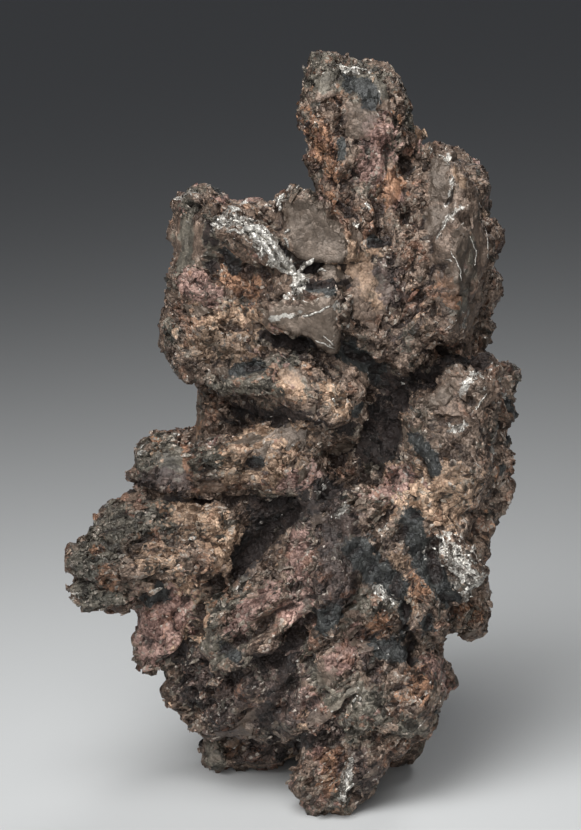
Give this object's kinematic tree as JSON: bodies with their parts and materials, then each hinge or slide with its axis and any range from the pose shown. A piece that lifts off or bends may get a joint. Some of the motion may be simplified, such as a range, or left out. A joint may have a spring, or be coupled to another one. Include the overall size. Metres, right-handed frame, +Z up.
{
  "type": "dyscrasite specimen",
  "caption": "Free-standing cluster of intergrown dyscrasite crystals, tarnished brown-grey, with a tall tower, blocky upper group, side arms and a heavy base with small feet.",
  "frame": {"origin": "on the surface that the cluster stands on, under the middle of its box", "axes": "+Z up along the tower, -Y towards the face that is seen, +X to that face's right"},
  "size_m": [0.0451, 0.0327, 0.0739],
  "materials": {
    "tarnished_dyscrasite": "granular metal tarnished brown-grey, with blue-black, copper and tan patches and bright silver ridges"
  },
  "bodies": {
    "root": {"dyscrasite_cluster": "tarnished_dyscrasite"}
  },
  "joints": []
}
